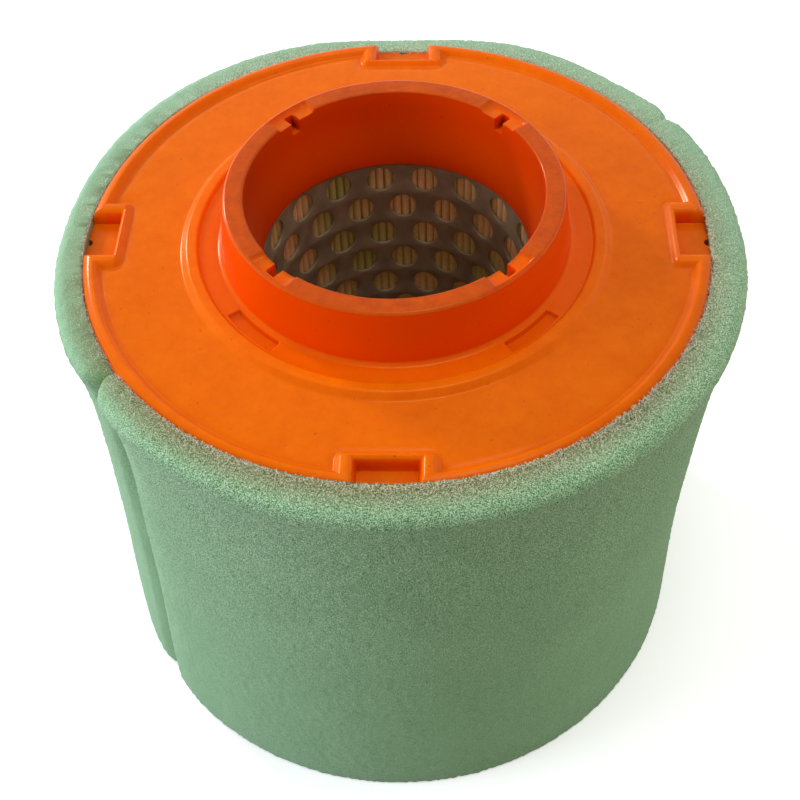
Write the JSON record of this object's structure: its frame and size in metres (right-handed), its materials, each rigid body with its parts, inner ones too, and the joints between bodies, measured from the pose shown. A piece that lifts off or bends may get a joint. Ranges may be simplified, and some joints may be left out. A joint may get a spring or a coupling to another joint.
{
  "type": "air filter element",
  "caption": "Round pleated air filter element with a moulded neck on its end cap, a perforated core tube and a lift-off foam pre-cleaner sleeve.",
  "frame": {"origin": "on the element's axis, at the face it stands on", "axes": "+Z along the axis, out of the intake neck; the four rim slots lie on the X and Y axes"},
  "size_m": [0.1316, 0.1316, 0.1156],
  "materials": {
    "moulded_cap": "soft orange polyurethane moulding, satin, slightly dusty",
    "core_steel": "dull dark steel strip",
    "filter_paper": "resin-treated pleated filter paper",
    "sleeve_foam": "green open-cell polyurethane foam"
  },
  "bodies": {
    "element": {"top_end_cap": "moulded_cap", "bottom_end_cap": "moulded_cap", "core_tube": "core_steel", "pleated_media": "filter_paper", "pleat_seam_strip": "core_steel"},
    "pre_cleaner": {"sleeve_front_panel": "sleeve_foam", "sleeve_back_panel": "sleeve_foam"}
  },
  "joints": [
    {"name": "sleeve_lift", "type": "slide", "parent": "element", "child": "pre_cleaner", "axis": [0, 0, 1], "range_m": [0, 0.12]}
  ]
}
